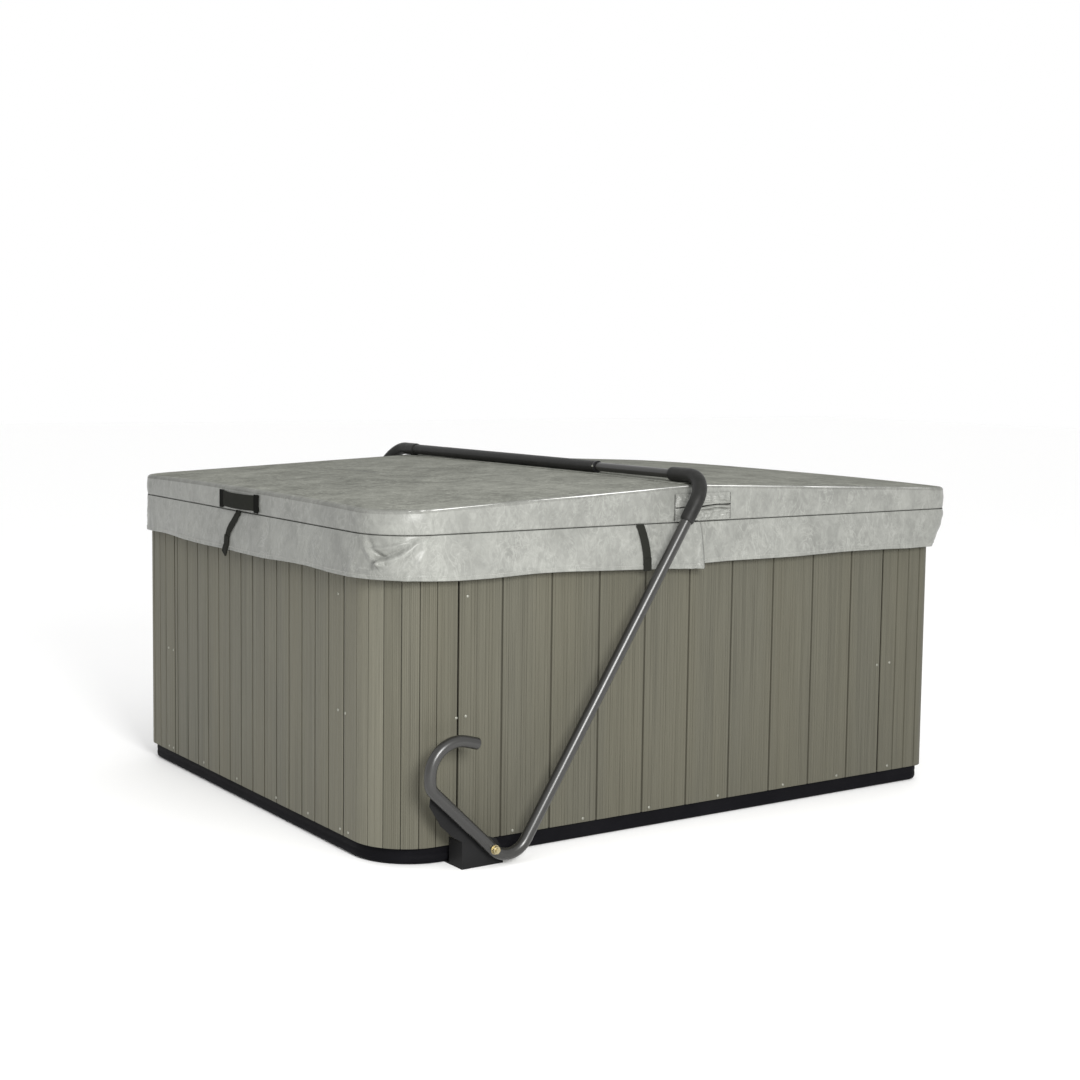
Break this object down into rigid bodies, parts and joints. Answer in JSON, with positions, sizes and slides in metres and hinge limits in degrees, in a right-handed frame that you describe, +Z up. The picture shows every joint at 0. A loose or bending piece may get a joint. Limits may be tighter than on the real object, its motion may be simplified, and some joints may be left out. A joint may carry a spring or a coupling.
{
  "type": "covered spa with folding cover and lifter",
  "caption": "Rectangular spa with board cabinet, folding insulated vinyl cover with skirt, straps and handles, and an under-base swing lifter whose padded crossbar carries the cover.",
  "frame": {"origin": "centre of the tub on the floor, in the middle of the underside of the base pan", "axes": "+X along the long side, away from the lifter pivots; front side is -Y; +Z up; the cover folds on a line parallel to Y at X = 0"},
  "size_m": [2.165, 1.9054, 1.059],
  "materials": {
    "cabinet_board": "matte",
    "base_black": "matte",
    "acrylic": "gloss",
    "galvanised": "satin",
    "bracket_black": "satin",
    "zinc": "satin",
    "tube_gunmetal": "gloss",
    "sleeve_black": "matte",
    "vinyl_grey": "satin",
    "foam_white": "matte",
    "webbing_black": "matte",
    "buckle_black": "satin",
    "headrest_dark": "matte",
    "equipment_dark": "satin",
    "heater_steel": "polished"
  },
  "bodies": {
    "spa": {"base_pan": "base_black", "cabinet_panel_front": "cabinet_board", "cabinet_panel_back": "cabinet_board", "cabinet_panel_left": "cabinet_board", "cabinet_panel_right": "cabinet_board", "corner_post_front_left": "cabinet_board", "corner_post_front_right": "cabinet_board", "corner_post_back_right": "cabinet_board", "corner_post_back_left": "cabinet_board", "spa_shell": "acrylic", "topside_control": "equipment_dark", "headrest_left": "headrest_dark", "headrest_right": "headrest_dark", "suction_cover": "equipment_dark", "support_frame": "galvanised", "pump_motor": "equipment_dark", "pump_volute": "equipment_dark", "control_pack": "equipment_dark", "heater_tube": "heater_steel", "bracket_front": "bracket_black", "bracket_back": "bracket_black", "pivot_bolt_front": "zinc", "pivot_bolt_back": "zinc", "pivot_nut_front": "zinc", "pivot_nut_back": "zinc"},
    "lifter": {"hook_leg_front": "tube_gunmetal", "hook_leg_back": "tube_gunmetal", "hook_plug_front": "sleeve_black", "hook_plug_back": "sleeve_black", "arm_tube_front": "tube_gunmetal", "arm_tube_back": "tube_gunmetal", "elbow_tube_front": "tube_gunmetal", "elbow_tube_back": "tube_gunmetal", "elbow_sleeve_front": "sleeve_black", "elbow_sleeve_back": "sleeve_black", "crossbar_inner_tube": "tube_gunmetal", "crossbar_outer_tube": "tube_gunmetal", "crossbar_collar": "sleeve_black", "crossbar_foam": "sleeve_black"},
    "cover_left": {"cover_jacket_left": "vinyl_grey", "fold_stiffener_left": "galvanised", "foam_core_left": "foam_white", "cover_skirt_left": "vinyl_grey", "fold_seal": "vinyl_grey", "hinge_gusset_front": "vinyl_grey", "hinge_gusset_back": "vinyl_grey", "handle_left": "webbing_black", "strap_front": "webbing_black", "buckle_front": "buckle_black", "strap_back": "webbing_black", "buckle_back": "buckle_black", "strap_left": "webbing_black", "buckle_left": "buckle_black"},
    "cover_right": {"cover_jacket_right": "vinyl_grey", "fold_stiffener_right": "galvanised", "foam_core_right": "foam_white", "cover_skirt_right": "vinyl_grey", "handle_right": "webbing_black", "strap_right": "webbing_black", "buckle_right": "buckle_black"}
  },
  "joints": [
    {"name": "lifter_swing", "type": "hinge", "parent": "spa", "child": "lifter", "pos_m": [-0.7483, 0, 0.0526], "axis": [0, -1, 0], "range_deg": [0, 51.5], "deforming": ["cover_skirt_left", "cover_skirt_right", "strap_front", "strap_back", "strap_left", "strap_right", "buckle_front", "buckle_back", "buckle_left", "buckle_right"]},
    {"name": "cover_left_tilt", "type": "hinge", "parent": "lifter", "child": "cover_left", "pos_m": [-0.0145, 0, 1.038], "axis": [0, -1, 0], "range_deg": [-15.5, 0]},
    {"name": "cover_fold", "type": "hinge", "parent": "cover_left", "child": "cover_right", "pos_m": [0, 0, 1.037], "axis": [0, -1, 0], "range_deg": [0, 179]}
  ],
  "couplings": [
    {"joint": "cover_left_tilt", "follows": "lifter_swing", "ratio": -0.3}
  ]
}
